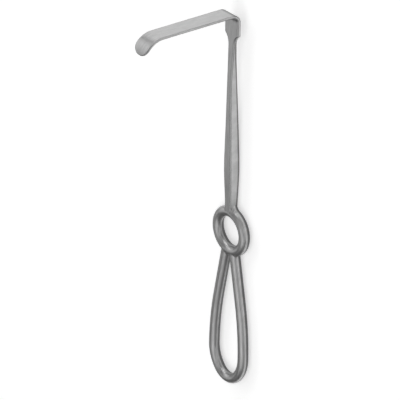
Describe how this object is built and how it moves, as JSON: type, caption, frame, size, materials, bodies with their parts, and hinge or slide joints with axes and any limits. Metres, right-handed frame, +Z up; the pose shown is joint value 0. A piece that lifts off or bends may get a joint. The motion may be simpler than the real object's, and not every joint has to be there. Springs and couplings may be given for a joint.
{
  "type": "handheld surgical retractor",
  "caption": "One-piece satin steel hand retractor: a right-angled blade with a curled tip, a slim shank, a finger ring and an open palm loop.",
  "frame": {"origin": "centre of the footprint on the surface that the handle lies on", "axes": "+X along the handle from the palm loop towards the blade, +Z up along the blade, away from the surface, +Y across the handle, completing a right-handed frame"},
  "size_m": [0.215, 0.0302, 0.0639],
  "materials": {
    "satin_steel": "satin, finely brushed along the blade and the shank"
  },
  "bodies": {
    "root": {"retractor": "satin_steel"}
  },
  "joints": []
}
